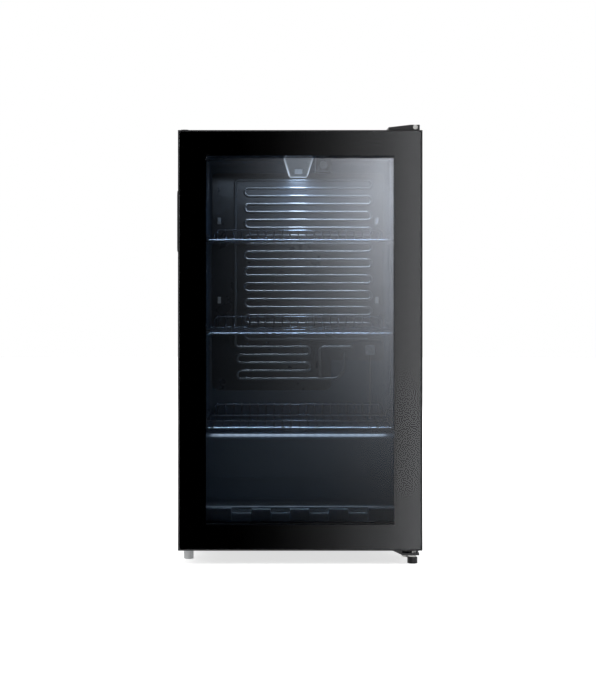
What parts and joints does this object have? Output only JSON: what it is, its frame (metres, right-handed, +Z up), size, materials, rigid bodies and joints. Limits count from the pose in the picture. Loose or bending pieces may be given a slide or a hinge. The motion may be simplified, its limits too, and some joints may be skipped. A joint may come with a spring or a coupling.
{
  "type": "mini fridge",
  "caption": "Under-counter beverage fridge with a framed glass door, wire shelves, a recessed handle and a rear condenser.",
  "frame": {"origin": "on the floor, at the bottom centre of the whole object's box", "axes": "+X to the right seen from the front, +Y to the back, +Z up"},
  "size_m": [0.474, 0.45, 0.85],
  "materials": {
    "shell_paint": "satin",
    "dark_sheet": "satin",
    "foam": "matte",
    "liner_plastic": "satin",
    "sill_plastic": "satin",
    "evaporator_coat": "satin",
    "pipe_coat": "satin",
    "clip_plastic": "satin",
    "copper": "satin",
    "lamp_plastic": "gloss",
    "lens": "satin",
    "board": "satin",
    "dial_plastic": "satin",
    "rocker_plastic": "gloss",
    "shelf_wire": "polished",
    "can_paint": "satin",
    "rubber_black": "matte",
    "zinc": "satin",
    "bay_plastic": "matte",
    "tray_plastic": "satin",
    "condenser_paint": "satin",
    "hinge_steel": "satin",
    "cover_plastic": "satin",
    "grey_foot": "satin",
    "black_foot": "satin",
    "pane": "gloss",
    "print": "gloss",
    "spacer_metal": "satin",
    "door_plastic": "satin",
    "gasket": "matte",
    "handle_plastic": "satin",
    "bush_plastic": "satin"
  },
  "bodies": {
    "cabinet": {"outer_shell": "shell_paint", "back_panel": "dark_sheet", "base_pan": "dark_sheet", "bay_shroud": "dark_sheet", "insulation_foam": "foam", "liner": "liner_plastic", "sill_trim": "sill_plastic", "evaporator_plate": "evaporator_coat", "evaporator_coil": "evaporator_coat", "evaporator_clips": "clip_plastic", "suction_pipe": "pipe_coat", "sensor_clamp": "clip_plastic", "capillary_tube": "copper", "lamp_housing": "lamp_plastic", "lamp_lens": "lens", "led_board": "board", "thermostat_body": "dial_plastic", "compressor": "can_paint", "compressor_grommets": "rubber_black", "compressor_bolts": "zinc", "relay_cover": "bay_plastic", "compressor_plate": "dark_sheet", "drip_tray": "tray_plastic", "drain_tube": "tray_plastic", "discharge_pipe": "copper", "return_pipe": "copper", "filter_drier": "copper", "condenser_tube": "condenser_paint", "condenser_wires": "condenser_paint", "condenser_brackets": "bay_plastic", "cord_gland": "rubber_black", "upper_hinge_bracket": "hinge_steel", "upper_hinge_screws": "zinc", "hinge_cover": "cover_plastic", "hinge_cover_screw": "zinc", "lower_hinge_bracket": "hinge_steel", "lower_hinge_pin": "zinc", "lower_hinge_bolts": "zinc", "foot_nut": "zinc", "rear_feet": "black_foot", "back_panel_screws": "zinc"},
    "door": {"front_glass": "pane", "glass_border": "print", "glass_spacer": "spacer_metal", "inner_glass": "pane", "door_stile_left": "door_plastic", "door_stile_right": "door_plastic", "door_cap_top": "door_plastic", "door_cap_bottom": "door_plastic", "door_gasket": "gasket", "handle_insert": "handle_plastic", "hinge_bushes": "bush_plastic", "door_hole_plug": "cover_plastic"},
    "thermostat_dial": {"thermostat_knob": "dial_plastic"},
    "lamp_rocker": {"lamp_switch": "rocker_plastic"},
    "low_shelf": {"shelf_lower": "shelf_wire"},
    "mid_shelf": {"shelf_middle": "shelf_wire"},
    "high_shelf": {"shelf_upper": "shelf_wire"},
    "left_foot": {"front_left_foot": "grey_foot"},
    "right_foot": {"front_right_foot": "black_foot"}
  },
  "joints": [
    {"name": "door_hinge", "type": "hinge", "parent": "cabinet", "child": "door", "pos_m": [0.218, -0.204, 0.433], "axis": [0, 0, 1], "range_deg": [0, 120]},
    {"name": "thermostat_turn", "type": "hinge", "parent": "cabinet", "child": "thermostat_dial", "pos_m": [0.052, 0.075, 0.787], "axis": [0, 1, 0], "range_deg": [0, 300]},
    {"name": "switch_rock", "type": "hinge", "parent": "cabinet", "child": "lamp_rocker", "pos_m": [0, 0.07, 0.7715], "axis": [1, 0, 0], "range_deg": [0, 16]},
    {"name": "low_shelf_slide", "type": "slide", "parent": "cabinet", "child": "low_shelf", "axis": [0, -1, 0], "range_m": [0, 0.025]},
    {"name": "mid_shelf_slide", "type": "slide", "parent": "cabinet", "child": "mid_shelf", "axis": [0, -1, 0], "range_m": [0, 0.025]},
    {"name": "high_shelf_slide", "type": "slide", "parent": "cabinet", "child": "high_shelf", "axis": [0, -1, 0], "range_m": [0, 0.025]},
    {"name": "left_foot_turn", "type": "hinge", "parent": "cabinet", "child": "left_foot", "pos_m": [-0.2188, -0.149, 0.01], "axis": [0, 0, 1], "continuous": true},
    {"name": "right_foot_turn", "type": "hinge", "parent": "cabinet", "child": "right_foot", "pos_m": [0.218, -0.204, 0.006], "axis": [0, 0, 1], "continuous": true}
  ]
}
